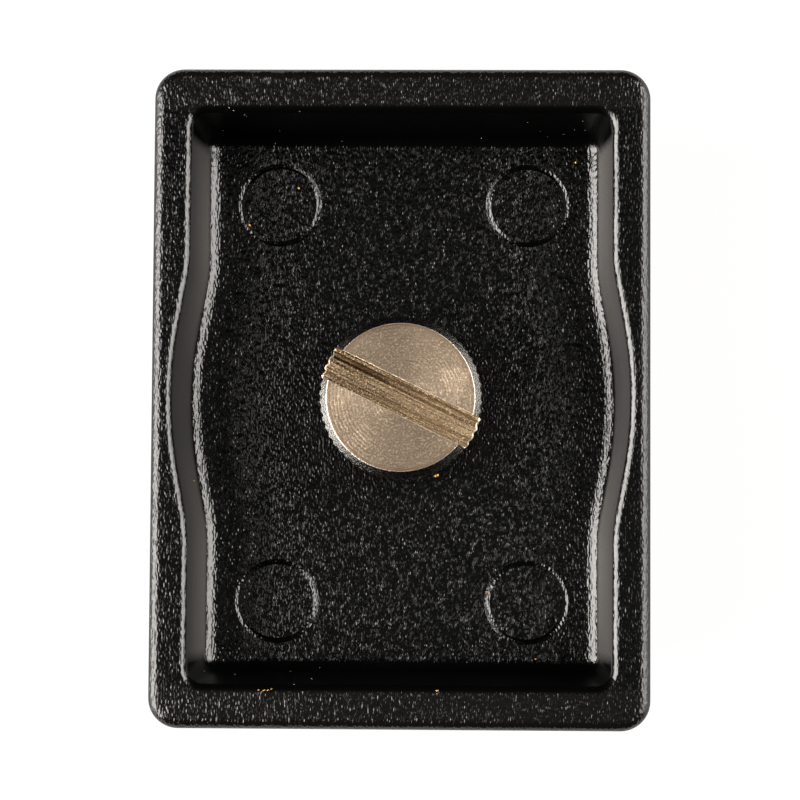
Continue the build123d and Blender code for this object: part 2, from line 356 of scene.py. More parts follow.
def wrinkle_paint(settings):
    """Black paint dried into fine wrinkles, smoother on the pocket's walls and in its marks, with
    painted sheen on the long walls and the ends of the rim and painted shade on the end walls.
    """
    sheet = new_material("wrinkle_paint")
    geometry = sheet.add("ShaderNodeNewGeometry").outputs
    facing = sheet.split(geometry["True Normal"])
    across, along, level = sheet.split(sheet.place())
    away = sheet.math("ABSOLUTE", across)
    towards_end = sheet.math("ABSOLUTE", along)
    side, end = MODEL_HIGH.x, MODEL_HIGH.y
    rim_part = 2.0 * MM
    smoothest = 1.6
    duller_right = 1.3

    def from_left(left, right):
        """A value that changes from the left half of the pocket to the right one."""
        return sheet.ramp(across, -0.5 * side, 0.5 * side, left, right)

    # Masks: steep faces, marks where paint has pooled, the walls, and the edge that a clamp rubs
    steep = sheet.ramp(facing[2], 0.99, 0.93)
    pooled = sheet.ramp(level, FLOOR_LEVEL - 0.06 * MM, FLOOR_LEVEL - 0.015 * MM, 0.2, 0.0)
    long_wall = inward_mask(sheet, across, facing[0], 0.85, 0.98)
    end_lip = inward_mask(sheet, along, facing[1], 0.25, 0.5)
    corner = sheet.times(
        sheet.ramp(towards_end, 19.5 * MM, 20.4 * MM), sheet.ramp(facing[2], 0.35, 0.2)
    )
    pocket = sheet.times(
        sheet.math("LESS_THAN", away, side - rim_part),
        sheet.math("LESS_THAN", towards_end, end - rim_part),
    )
    end_wall = sheet.math("MAXIMUM", end_lip, sheet.times(corner, pocket))
    rubbed = sheet.ramp(away, side - 1.0 * MM, side - 0.5 * MM)

    # The wrinkles are coarsest on the floor beside the long walls and run out on the fillets
    wrinkle = object_noise(sheet, settings.grain, detail=0.0, stretch=(2.0, 0.9, 1.0))
    fine = object_noise(sheet, settings.grain * 0.4, detail=1.0)
    height = sheet.math("MULTIPLY_ADD", fine, 0.2, wrinkle)
    outwards = sheet.math("MULTIPLY_ADD", across, facing[0], sheet.times(along, facing[1]))
    bare = sheet.times(steep, sheet.math("LESS_THAN", outwards, 0.0))
    bare = sheet.times(bare, sheet.ramp(level, FLOOR_LEVEL - 0.005 * MM, FLOOR_LEVEL, 0.0, 0.85))
    smooth = sheet.math("MAXIMUM", bare, pooled)
    smooth = sheet.math("MAXIMUM", smooth, sheet.times(end_wall, smoothest))
    strength = sheet.ramp(smooth, 0.0, smoothest, 1.0, 0.1)
    middle = sheet.ramp(along, -11.0 * MM, -5.0 * MM, 0.77, 0.72)
    coarse = sheet.ramp(away, 0.3 * side, 0.65 * side, middle, 0.92)
    rim = sheet.ramp(across, -0.8 * side, 0.8 * side, 0.78, 0.64)
    end_rim = sheet.ramp(towards_end, 21.8 * MM, 22.6 * MM)
    rim = sheet.times(rim, sheet.ramp(end_rim, 0.0, 1.0, 1.0, 1.08))
    relief = sheet.blend(sheet.ramp(level, FLOOR_LEVEL, RIM_LEVEL), coarse, rim)
    relief = sheet.times(relief, settings.relief)
    sweep = eased_normal(sheet, geometry["Normal"], level)
    bump = sheet.bump(height, relief, Strength=strength, Normal=sweep)

    # Satin walls, a rubbed edge, and painted sheen on the ends of the rim
    satin = from_left(settings.wall_roughness, settings.wall_roughness * duller_right)
    roughness = sheet.blend(long_wall, settings.roughness, satin)
    edge = settings.edge_roughness
    edge = sheet.ramp(across, -side, side, edge, edge * duller_right)
    roughness = sheet.blend(rubbed, roughness, edge)
    tone = sheet.ramp(wrinkle, 0.35, 0.7)
    tint = sheet.mix(tone, settings.black, scaled(settings.black, 1.8))
    # Painted sheen: the ends of the rim get a lighter colour
    on_top = sheet.ramp(level, RIM_LEVEL - 1.0 * MM, RIM_LEVEL - 0.3 * MM)
    tint = sheet.mix(sheet.times(end_rim, on_top), tint, settings.dust)

    # Painted sheen on the long walls, standing in for their reflection of the panels across the
    # pocket: stronger low down and on the right wall, with painted shade from the screw head near
    # the middle
    height_up = sheet.ramp(level, FLOOR_LEVEL + 1.0 * MM, RIM_LEVEL - 1.0 * MM)
    sheen_amount = sheet.blend(height_up, from_left(0.64, 0.8), from_left(0.1, 0.26))
    sheen_amount = sheet.times(sheen_amount, sheet.ramp(towards_end, 3.0 * MM, 12.0 * MM, 0.4, 1.0))
    # Painted sheen, mixed into the colour of the long walls
    film = sheet.mix(sheen_amount, (0, 0, 0), settings.film)
    tint = sheet.mix(long_wall, tint, film)
    paint = sheet.principled(tint, roughness, Normal=bump, Specular_IOR_Level=0.8)
    # Painted shade: a copy of the paint that reflects almost nothing, kept dark on the end walls
    # and in the corners of the pocket
    dull = sheet.principled(settings.black, settings.end_roughness, Specular_IOR_Level=0.05)
    return close_material(sheet, sheet.add("ShaderNodeMixShader", {0: end_wall, 1: paint, 2: dull}))


def lathe_rings(sheet, pitch, distortion):
    """Concentric tool marks round the screw axis."""
    phase_per_unit = 20  # radians of the Wave texture at a scale of 1
    inputs = {
        "Vector": sheet.place(),
        "Scale": 2 * math.pi / (phase_per_unit * pitch),
        "Distortion": distortion,
        "Detail": 2.0,
        "Detail Scale": 1.5,
    }
    return sheet.add("ShaderNodeTexWave", inputs, wave_type="RINGS", rings_direction="Z").outputs[1]


def plated_brass(settings):
    """Thin warm plating over turned brass, with broken lathe rings and a mottled grain."""
    sheet = new_material("plated_brass")
    upright = sheet.split(sheet.add("ShaderNodeNewGeometry").outputs["True Normal"])[2]
    face = sheet.ramp(upright, 0.85, 0.97)

    # Tool marks come and go, and a fine grain lies over them
    rings = lathe_rings(sheet, 0.27 * MM, 2.4)
    presence = sheet.times(sheet.ramp(object_noise(sheet, 1.6 * MM), 0.4, 0.68), face)
    grain = object_noise(sheet, 0.16 * MM, detail=3.0, roughness=0.65)
    height = sheet.times(grain, sheet.ramp(face, 0.0, 1.0, 1.0, 0.74))
    height = sheet.math("MULTIPLY_ADD", sheet.times(rings, presence), 0.55, height)
    bump = sheet.bump(height, 0.05 * MM)

    # Stained in patches, with bright specks, and browner next to the edge of the face
    stain = object_noise(sheet, 2.4 * MM, detail=3.0, roughness=0.55)
    worn = scaled(settings.plating, 0.78)
    tint = sheet.mix(sheet.ramp(stain, 0.4, 0.65), settings.plating, worn)
    tint = sheet.mix(sheet.ramp(grain, 0.5, 0.66), tint, scaled(settings.plating, 1.8))
    flat = sheet.add("ShaderNodeVectorMath", {0: sheet.place(), 1: (1, 1, 0)}, operation="MULTIPLY")
    radius = sheet.add("ShaderNodeVectorMath", {0: flat}, operation="LENGTH").outputs["Value"]
    edge = settings.head_diameter / 2 - settings.top_chamfer
    border = sheet.ramp(radius, edge - 0.32 * MM, edge - 0.16 * MM)
    tint = sheet.mix(sheet.times(border, 0.6), tint, settings.tarnish)

    # The knurl is plain nickel, and the rounded edge between the chamfer and the face gets a
    # painted highlight
    tint = sheet.mix(face, settings.nickel, tint)
    edge_highlight = sheet.times(sheet.ramp(upright, 0.74, 0.8), sheet.ramp(upright, 0.985, 0.95))
    tint = sheet.mix(edge_highlight, tint, scaled(settings.nickel, 3.4))
    roughness = sheet.blend(face, sheet.ramp(grain, 0.3, 0.7, 0.16, 0.36), 0.52)
    metal = sheet.principled(
        tint,
        roughness,
        Metallic=1.0,
        Normal=bump,
        Tangent=sheet.add("ShaderNodeTangent", direction_type="RADIAL", axis="Z"),
        Anisotropic=0.22,
        Anisotropic_Rotation=0.25,
    )
    return close_material(sheet, metal)


def raw_brass(settings):
    """Bare brass in the slot, with lengthwise tool marks, painted glints, and painted shade along a
    groove and the upper edge.
    """
    sheet = new_material("raw_brass")
    inputs = {"Vector": sheet.place(), "Angle": -settings.slot_angle}
    turned = sheet.add("ShaderNodeVectorRotate", inputs, rotation_type="Z_AXIS")
    along, across, _ = sheet.split(turned)
    drawn = sheet.add("ShaderNodeMapping", {"Vector": turned, "Scale": (0.03, 1, 1)})
    inputs = {"Vector": drawn, "Scale": 1 / (0.12 * MM), "Detail": 3.0}
    marks = sheet.add("ShaderNodeTexNoise", inputs).outputs[0]
    specks = object_noise(sheet, 0.11 * MM, roughness=0.6)
    bump = sheet.bump(sheet.math("MULTIPLY_ADD", specks, 0.7, marks), 0.05 * MM)

    # Painted shade in brown along a groove and the upper edge of the slot's floor, darker towards
    # the left end
    half = settings.slot_width / 2
    groove = sheet.times(
        sheet.ramp(across, 0.34 * half, 0.42 * half),
        sheet.ramp(across, 0.74 * half, 0.82 * half, 1.0, 0.2),
    )
    upper = sheet.math("MAXIMUM", groove, sheet.ramp(across, 0.8 * half, 0.86 * half, 0.0, 0.7))
    left = sheet.ramp(along, -3.0 * MM, 1.5 * MM, 1.0, 0.28)
    shade = sheet.times(sheet.math("MULTIPLY_ADD", upper, 0.65, 0.56), left)
    shade_and_marks = sheet.math("ADD", shade, sheet.ramp(marks, 0.35, 0.65, 0.5, -0.5), clamp=True)
    brown = tuple(value * share for value, share in zip(settings.brass, (0.2, 0.15, 0.11)))
    tint = sheet.mix(shade_and_marks, settings.brass, brown)

    # Painted glints as bright specks, few of them in the shaded groove
    spared = sheet.math("MULTIPLY_ADD", sheet.times(groove, left), -0.8, 1.0)
    glint = sheet.times(sheet.ramp(specks, 0.53, 0.64), spared)
    tint = sheet.mix(glint, tint, scaled(settings.brass, 2.3))
    return close_material(sheet, sheet.principled(tint, 0.52, Metallic=1.0, Normal=bump))


def plain_material(name, rgb, metallic, roughness):
    """An even material without any texture."""
    sheet = new_material(name)
    return close_material(sheet, sheet.principled(rgb, roughness, Metallic=metallic))


def pad_rubber(settings):
    """Matt black rubber with a fine moulded grain and a little dust."""
    sheet = new_material("pad_rubber")
    bump = sheet.bump(object_noise(sheet, settings.grain), 0.05 * MM, Strength=0.6)
    dust = object_noise(sheet, 1.6 * MM, detail=4.0, roughness=0.65)
    tint = sheet.mix(sheet.ramp(dust, 0.5, 0.8), settings.rubber, scaled(settings.rubber, 3.0))
    return close_material(sheet, sheet.principled(tint, 0.62, Normal=bump, IOR=1.5))


def spring_steel(settings):
    """Dark phosphated spring steel, a little brighter where it is rubbed."""
    sheet = new_material("spring_steel")
    bump = sheet.bump(object_noise(sheet, 0.1 * MM), 0.01 * MM, Strength=0.5)
    rub = object_noise(sheet, 1.1 * MM, detail=3.0)
    tint = sheet.mix(sheet.ramp(rub, 0.45, 0.7), settings.steel, scaled(settings.steel, 2.2))
    return close_material(sheet, sheet.principled(tint, 0.38, Metallic=1.0, Normal=bump))


def linked(name, data):
    """A new object in the scene."""
    item = bpy.data.objects.new(name, data)
    bpy.context.scene.collection.objects.link(item)
    return item


@contextmanager
def editing(mesh):
    """A mesh opened for editing, and written back at the end."""
    bm = bmesh.new()
    bm.from_mesh(mesh)
    yield bm
    bm.to_mesh(mesh)
    bm.free()


def new_piece(name, mesh, material, body):
    """Puts a finished mesh into the scene as a piece that rides on a body."""
    piece = linked(name, mesh)
    if material is not None:
        mesh.materials.clear()
        mesh.materials.append(material)
    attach(piece, body)
    return piece


def merged_copy(node):
    """The mesh of a frame node with its loose triangles joined into closed faces."""
    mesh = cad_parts[node].data.copy()
    if mesh.has_custom_normals:
        mesh.attributes.remove(mesh.attributes["custom_normal"])
    with editing(mesh) as bm:
        bmesh.ops.remove_doubles(bm, verts=bm.verts, dist=MERGE_DISTANCE)
    return mesh


def smooth_faces(mesh, limit):
    """Smooth shading with edges kept sharp past an angle in degrees."""
    with editing(mesh) as bm:
        for face in bm.faces:
            face.smooth = True
        for edge in bm.edges:
            edge.smooth = edge.calc_face_angle(0.0) < math.radians(limit)


def weigh_normals(piece):
    """Keeps flat faces flat beside their fillets."""
    modifier = piece.modifiers.new("flat faces", "WEIGHTED_NORMAL")
    modifier.keep_sharp = True
    modifier.weight = 100


def evaluated_mesh(holder):
    """The result of an object's modifiers as a plain mesh, with the holder removed."""
    graph = bpy.context.evaluated_depsgraph_get()
    mesh = bpy.data.meshes.new_from_object(holder.evaluated_get(graph), depsgraph=graph)
    bpy.data.objects.remove(holder)
    return mesh


def new_tree(name, floats, whole=()):
    """A geometry node tree with number inputs and a material, as (sheet, inputs)."""
    tree = bpy.data.node_groups.new(name, "GeometryNodeTree")
    for side in ("INPUT", "OUTPUT"):
        tree.interface.new_socket("Geometry", in_out=side, socket_type="NodeSocketGeometry")
    kinds = {**dict.fromkeys(floats, "Float"), **dict.fromkeys(whole, "Int")}
    for label, kind in {**kinds, "Material": "Material"}.items():
        tree.interface.new_socket(label, in_out="INPUT", socket_type="NodeSocket" + kind)
    sheet = NodeSheet(tree)
    return sheet, sheet.add("NodeGroupInput").outputs


def close_tree(sheet, geometry, material):
    """Realizes what a tree made, gives it its material and sends it out, as the tree."""
    real = sheet.add("GeometryNodeRealizeInstances", {0: geometry})
    dressed = sheet.add("GeometryNodeSetMaterial", {"Geometry": real, "Material": material})
    sheet.add("NodeGroupOutput", {0: dressed})
    return sheet.tree


def grown(name, data, tree, values):
    """The mesh that a geometry node tree makes from some data with the given input values."""
    holder = linked(name, data)
    modifier = holder.modifiers.new(name, "NODES")
    modifier.node_group = tree
    for socket in tree.interface.items_tree:
        if socket.name in values:
            modifier[socket.identifier] = values[socket.name]
    return evaluated_mesh(holder)


def triangle_wave(sheet, turns):
    """Wave that is 1 at each whole turn and 0 half way between."""
    part = sheet.math("FRACT", turns)
    return sheet.math("ABSOLUTE", sheet.math("MULTIPLY_ADD", part, 2.0, -1.0))


def screw_cutting_tree():
    """Cuts the knurl and the helical thread into a turned blank, by holding in its radius."""
    floats = ("Head Radius", "Knurl Depth", "Head Underside", "Thread Radius")
    floats += ("Thread Depth", "Thread Pitch", "Thread Top")
    sheet, given = new_tree("screw_cutting", floats, ("Knurl Teeth",))
    axes = sheet.split(sheet.add("GeometryNodeInputPosition"))
    turn = sheet.math("DIVIDE", sheet.math("ARCTAN2", axes[1], axes[0]), 2 * math.pi)
    across = sheet.times(axes[0], axes[0])
    radius = sheet.math("SQRT", sheet.math("MULTIPLY_ADD", axes[1], axes[1], across))

    # Knurl: V grooves with narrow flat crests
    knurl_wave = triangle_wave(sheet, sheet.times(turn, given["Knurl Teeth"]))
    knurl_groove = sheet.ramp(knurl_wave, KNURL_CREST, 1.0)
    knurl_cut = sheet.times(knurl_groove, given["Knurl Depth"])
    knurl_limit = sheet.math("SUBTRACT", given["Head Radius"], knurl_cut)

    # Thread: V grooves on a helix, running out below the groove of the ring
    rise = sheet.math("DIVIDE", axes[2], given["Thread Pitch"])
    thread_wave = triangle_wave(sheet, sheet.math("SUBTRACT", rise, turn))
    thread_groove = sheet.ramp(thread_wave, 0.14, 0.8)
    below = sheet.math("SUBTRACT", given["Thread Top"], axes[2])
    run_out = sheet.ramp(below, 0.0, 0.5 * MM)
    thread_cut = sheet.times(sheet.times(thread_groove, run_out), given["Thread Depth"])
    thread_limit = sheet.math("SUBTRACT", given["Thread Radius"], thread_cut)

    # Each point keeps its direction and is held within the limit at its height
    under_head = sheet.math("SUBTRACT", given["Head Underside"], 0.01 * MM)
    on_head = sheet.math("GREATER_THAN", axes[2], under_head)
    limits = {0: on_head, 1: thread_limit, 2: knurl_limit}
    limit = sheet.add("GeometryNodeSwitch", limits, input_type="FLOAT")
    held = sheet.math("MINIMUM", radius, limit)
    scale = sheet.math("DIVIDE", held, sheet.math("MAXIMUM", radius, 1e-7))
    moved = sheet.join(sheet.times(axes[0], scale), sheet.times(axes[1], scale), axes[2])
    cut = sheet.add("GeometryNodeSetPosition", {"Geometry": given["Geometry"], "Position": moved})
    return close_tree(sheet, cut, given["Material"])


def stations(first, last, step):
    """Evenly spaced points on a line from first to last, without the first."""
    count = max(1, round((Vector(last) - Vector(first)).length / step))
    return [Vector(first).lerp(Vector(last), share / count) for share in range(1, count + 1)]


def bridge(bm, first, second):
    """Faces between two lines of equally many points."""
    for corners in zip(first, first[1:], second[1:], second):
        bm.faces.new(corners)


def turned_blank(profile, columns):
    """Closed body of revolution through a profile of (radius, level) points, as a mesh."""
    mesh = bpy.data.meshes.new("turned_blank")
    turns = [2 * math.pi * column / columns for column in range(columns)]
    with editing(mesh) as bm:
        rings = []
        for radius, level in profile:
            places = [(radius * math.cos(turn), radius * math.sin(turn), level) for turn in turns]
            ring = [bm.verts.new(place) for place in places]
            rings.append(ring + ring[:1])
        for lower, upper in zip(rings, rings[1:]):
            bridge(bm, lower, upper)
        for ring, point in ((rings[0], profile[0]), (rings[-1], profile[-1])):
            middle = bm.verts.new((0, 0, point[1]))
            for corners in zip(ring, ring[1:]):
                bm.faces.new((*corners, middle))
        bmesh.ops.recalc_face_normals(bm, faces=bm.faces)
    return mesh


def screw_profile(screw):
    """Outline of the screw from the tip to the face, dense where the thread and knurl are cut."""
    head = screw.head_diameter / 2
    thread = screw.thread_diameter / 2
    shank = screw.shank_diameter / 2
    groove = screw.groove_diameter / 2
    tip = SCREW_LOW.z
    underside = HEAD_TOP - screw.head_height

    # Corners, each with the spacing of the points on the way to it
    corners = [
        ((thread - screw.tip_chamfer, tip), None),
        ((thread, tip + screw.tip_chamfer), 0.07 * MM),
        ((thread, RING_LOW.z - RING_PLAY), 0.07 * MM),
        ((groove, RING_LOW.z - RING_PLAY), 0.4 * MM),
        ((groove, RING_HIGH.z + RING_PLAY), 0.4 * MM),
        ((shank, RING_HIGH.z + RING_PLAY), 0.4 * MM),
        ((shank, underside), 1.0 * MM),
        ((head - screw.under_chamfer, underside), 1.0 * MM),
        ((head, underside + screw.under_chamfer), 0.05 * MM),
        ((head, HEAD_TOP - screw.top_chamfer), 1.0 * MM),
    ]
    profile = [corners[0][0]]
    for corner, step in corners[1:]:
        profile += stations(profile[-1], corner, step)

    # Chamfer, then the rounded edge up to the face
    bend = screw.edge_break
    start = math.radians(45)
    centre = (head - screw.top_chamfer - bend * math.tan(start / 2), HEAD_TOP - bend)
    arc = [
        (centre[0] + bend * math.sin(start * share), centre[1] + bend * math.cos(start * share))
        for share in (1.0, 0.75, 0.5, 0.25, 0.0)
    ]
    profile += stations(profile[-1], arc[0], 0.06 * MM)
    profile += arc[1:]
    profile += stations(profile[-1], (0.3 * MM, HEAD_TOP), 1.2 * MM)
    return profile


def slot_floor(along, across, screw):
    """Depth of the slot below the face: a milled floor with ledges and lengthwise tool marks."""
    side = across / (screw.slot_width / 2)

    # A ledge along one wall, a groove beside it that fades along the slot, and a low step
    depth = screw.slot_depth
    depth -= 0.3 * MM * max(0.0, min(1.0, (side - 0.72) / 0.06))
    depth += 0.12 * MM * math.exp(-(((side - 0.55) / 0.12) ** 2)) * (0.7 - 0.3 * along / (6 * MM))
    depth -= 0.12 * MM * max(0.0, min(1.0, (-side - 0.5) / 0.08))

    # Long tool marks, shorter scores and pits
    marks = noise.noise((along / (9 * MM), across / (0.11 * MM), 3.7))
    scores = noise.noise((along / (4 * MM), across / (0.26 * MM), 9.1))
    pits = noise.noise((along / (0.16 * MM), across / (0.12 * MM), 5.3))
    return depth + 0.035 * MM * marks + 0.045 * MM * scores + 0.022 * MM * pits


def slot_cutter(screw, material):
    """Block with a rough underside that mills the slot, as an object."""
    half = screw.slot_width / 2
    reach = screw.head_diameter / 2 + 0.4 * MM
    above = HEAD_TOP + 0.5 * MM
    turn = Matrix.Rotation(screw.slot_angle, 3, "Z")
    mesh = bpy.data.meshes.new("slot_cutter")
    with editing(mesh) as bm:
        floor = []
        for row in range(SLOT_ROWS + 1):
            along = reach * (2 * row / SLOT_ROWS - 1)
            line = []
            for column in range(SLOT_COLUMNS + 1):
                share = 2 * column / SLOT_COLUMNS - 1
                across = half * share
                if abs(share) == 1:
                    across += 0.02 * MM * noise.noise((along / (0.3 * MM), 7.7 * share, 0.0))
                level = HEAD_TOP - slot_floor(along, across, screw)
                line.append(bm.verts.new(turn @ Vector((along, across, level))))
            floor.append(line)
        columns = list(zip(*floor))
        for first, second in zip(columns, columns[1:]):
            bridge(bm, first, second)

        # Walls up from the border of the floor, and a lid
        border = [line[0] for line in floor] + floor[-1][1:-1]
        border += [line[-1] for line in reversed(floor)] + floor[0][-2:0:-1]
        lifted = [bm.verts.new((vertex.co.x, vertex.co.y, above)) for vertex in border]
        bridge(bm, border + border[:1], lifted + lifted[:1])
        bm.faces.new(lifted)
        bmesh.ops.recalc_face_normals(bm, faces=bm.faces)
    mesh.materials.append(material)
    return linked("slot_cutter", mesh)


def milled(mesh, cutter):
    """A mesh with a cutter taken out of it, which leaves the cutter's material on its walls."""
    holder = linked("milled", mesh)
    modifier = holder.modifiers.new("slot", "BOOLEAN")
    modifier.operation = "DIFFERENCE"
    modifier.solver = "EXACT"
    modifier.material_mode = "TRANSFER"
    modifier.object = cutter
    result = evaluated_mesh(holder)
    bpy.data.objects.remove(cutter)
    return result


def polyline(name, points):
    """A curve of straight runs through points."""
    curve = bpy.data.curves.new(name, "CURVE")
    curve.dimensions = "3D"
    spline = curve.splines.new("POLY")
    spline.points.add(len(points) - 1)
    for target, point in zip(spline.points, points):
        target.co = (*point, 1.0)
    return curve


def burr_tree():
    """Turns a curve into a thin ragged lip of metal."""
    sheet, given = new_tree("edge_burr", ("Thickness", "Raggedness", "Step", "Seed"))
    inputs = {"Curve": given["Geometry"], "Length": given["Step"]}
    fine = sheet.add("GeometryNodeResampleCurve", inputs, mode="LENGTH")
    inputs = {"Scale": 1 / (0.25 * MM), "W": given["Seed"], "Detail": 2.0}
    shake = sheet.add("ShaderNodeTexNoise", inputs, noise_dimensions="4D")
    inputs = {0: shake.outputs[1], 1: (0.5, 0.5, 0.5)}
    centred = sheet.add("ShaderNodeVectorMath", inputs, operation="SUBTRACT")
    inputs = {0: centred, "Scale": given["Raggedness"]}
    offset = sheet.add("ShaderNodeVectorMath", inputs, operation="SCALE")
    ragged = sheet.add("GeometryNodeSetPosition", {"Geometry": fine, "Offset": offset})
    width = sheet.times(sheet.ramp(shake.outputs[0], 0.3, 0.7, 0.25, 1.3), given["Thickness"])
    profile = sheet.add("GeometryNodeCurvePrimitiveCircle", {"Resolution": 6, "Radius": 1.0})
    lip = sheet.add(
        "GeometryNodeCurveToMesh",
        {"Curve": ragged, "Profile Curve": profile, "Scale": width, "Fill Caps": True},
    )
    smooth = sheet.add("GeometryNodeSetShadeSmooth", {0: lip})
    return close_tree(sheet, smooth, given["Material"])


def join_meshes(name, meshes):
    """Several meshes as one."""
    joined = bpy.data.meshes.new(name)
    with editing(joined) as bm:
        for mesh in meshes:
            bm.from_mesh(mesh)
    for mesh in meshes:
        bpy.data.meshes.remove(mesh)
    return joined


def fleck_tree():
    """Puts rounded grains on points, turned by a fixed seed and as large as each point says."""
    sheet, given = new_tree("flecks", ("Flatness",), ("Seed",))
    grain = sheet.add("GeometryNodeMeshIcoSphere", {"Radius": 0.5, "Subdivisions": 2})
    inputs = {2: 0.0, 3: 2 * math.pi, "Seed": given["Seed"]}
    turn = sheet.add("FunctionNodeRandomValue", inputs, data_type="FLOAT").outputs[1]
    size, normal = (
        sheet.add("GeometryNodeInputNamedAttribute", {"Name": name}, data_type=kind).outputs[0]
        for name, kind in (("size", "FLOAT"), ("surface", "FLOAT_VECTOR"))
    )
    scale = sheet.join(size, sheet.times(size, 0.7), sheet.times(size, given["Flatness"]))
    upright = sheet.add("FunctionNodeAlignRotationToVector", {"Vector": normal}, axis="Z")
    spin = sheet.add("FunctionNodeAxisAngleToRotation", {"Axis": (0, 0, 1), "Angle": turn})
    turns = {0: upright, 1: spin}
    rotation = sheet.add("FunctionNodeRotateRotation", turns, rotation_space="LOCAL")
    placed = sheet.add(
        "GeometryNodeInstanceOnPoints",
        {"Points": given["Geometry"], "Instance": grain, "Rotation": rotation, "Scale": scale},
    )
    smooth = sheet.add("GeometryNodeSetShadeSmooth", {0: placed})
    return close_tree(sheet, smooth, given["Material"])


class PLATE_OT_casting(bpy.types.Operator):
    """Give the die casting its wrinkle paint."""

    bl_idname = "plate.casting"
    bl_label = "Paint the Casting"

    def execute(self, context):
        mesh = merged_copy("plate_casting")
        self.fill_marks(mesh, context.scene.plate_paint)
        smooth_faces(mesh, CASTING_SHARP)
        paint = wrinkle_paint(context.scene.plate_paint)
        piece = new_piece("painted_casting", mesh, paint, "plate")
        weigh_normals(piece)
        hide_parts("plate_casting")
        return {"FINISHED"}

    def fill_marks(self, mesh, paint):
        """Draws the rims of the ejector marks together and lifts their roots."""
        middle = Vector(MARK_PLACE)
        for vertex in mesh.vertices:
            offset = Vector((abs(vertex.co.x), abs(vertex.co.y))) - middle
            gap = offset.length - MARK_RADIUS
            if abs(gap) > MARK_REACH or abs(vertex.co.z - FLOOR_LEVEL) > MARK_REACH:
                continue
            shift = offset.normalized() * (gap * (paint.mark_width - 1) + paint.mark_spread)
            vertex.co.x += shift.x if vertex.co.x > 0 else -shift.x
            vertex.co.y += shift.y if vertex.co.y > 0 else -shift.y
            vertex.co.z = FLOOR_LEVEL + paint.mark_depth * (vertex.co.z - FLOOR_LEVEL)


class PLATE_OT_screw(bpy.types.Operator):
    """Turn the camera screw, cut its knurl and thread, mill its slot and raise the burrs."""

    bl_idname = "plate.screw"
    bl_label = "Make the Camera Screw"

    def execute(self, context):
        screw = context.scene.plate_screw
        plating = plated_brass(screw)
        brass = raw_brass(screw)
        blank = turned_blank(screw_profile(screw), COLUMNS_PER_TOOTH * screw.knurl_count)
        cut = grown(
            "screw_blank",
            blank,
            screw_cutting_tree(),
            {
                "Knurl Teeth": screw.knurl_count,
                "Head Radius": screw.head_diameter / 2,
                "Knurl Depth": screw.knurl_depth,
                "Head Underside": HEAD_TOP - screw.head_height,
                "Thread Radius": screw.thread_diameter / 2,
                "Thread Depth": screw.thread_depth,
                "Thread Pitch": screw.thread_pitch,
                "Thread Top": RING_LOW.z,
                "Material": plating,
            },
        )
        slotted = milled(cut, slot_cutter(screw, brass))
        smooth_faces(slotted, SCREW_SHARP)
        piece = new_piece("turned_screw", slotted, None, "screw")
        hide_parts("camera_screw")

        shine = plain_material("bright_burr", screw.burr, 1.0, 0.42)
        new_piece("slot_burrs", self.burrs(screw, shine), shine, "screw")
        return {"FINISHED"}

    def burrs(self, screw, material):
        """Ragged lips round the slot, a ridge on its floor and a scratch on the face."""
        tree = burr_tree()
        half = screw.slot_width / 2
        reach = math.sqrt((screw.head_diameter / 2 - screw.top_chamfer) ** 2 - half**2)
        ridge = [(share * MM, 0.39 * MM) for share in (-0.5, 0.4, 1.4, 2.4, 3.3, 4.2)]
        lines = [
            ([(-reach, half, 0.0), (reach, half, 0.0)], 0.065 * MM, 0.08 * MM),
            ([(-reach, -half, 0.0), (reach, -half, 0.0)], 0.03 * MM, 0.1 * MM),
            (self.slot_end(screw, -1), 0.085 * MM, 0.03 * MM),
            (self.slot_end(screw, 1), 0.085 * MM, 0.03 * MM),
            ([(*spot, slot_floor(*spot, screw)) for spot in ridge], 0.035 * MM, 0.1 * MM),
            ([(-1.06 * MM, 3.33 * MM, 0.0), (0.14 * MM, 3.5 * MM, 0.0)], 0.012 * MM, 0.02 * MM),
        ]
        turn = Matrix.Rotation(screw.slot_angle, 3, "Z")
        lips = []
        for seed, (points, thickness, raggedness) in enumerate(lines):
            path = [
                turn @ Vector((along, across, HEAD_TOP - depth)) for along, across, depth in points
            ]
            values = {
                "Thickness": thickness,
                "Raggedness": raggedness,
                "Step": BURR_STEP,
                "Seed": 3.0 + seed,
                "Material": material,
            }
            lips.append(grown("burr", polyline("burr", path), tree, values))
        return join_meshes("slot_burrs", lips)

    def slot_end(self, screw, end):
        """Points along the knurled end of the slot's floor, as (along, across, depth)."""
        points = []
        steps = 20
        for step in range(-steps, steps + 1):
            across = screw.slot_width / 2 * step / steps
            sweep = math.asin(across / (screw.head_diameter / 2))
            turn = screw.slot_angle + sweep if end > 0 else screw.slot_angle + math.pi - sweep
            part = (turn * screw.knurl_count / (2 * math.pi)) % 1.0
            groove = max(0.0, (abs(2 * part - 1) - KNURL_CREST) / (1 - KNURL_CREST))
            radius = screw.head_diameter / 2 - groove * screw.knurl_depth
            along = end * math.sqrt(radius**2 - across**2)
            points.append((along, across, slot_floor(along, across, screw)))
        return points


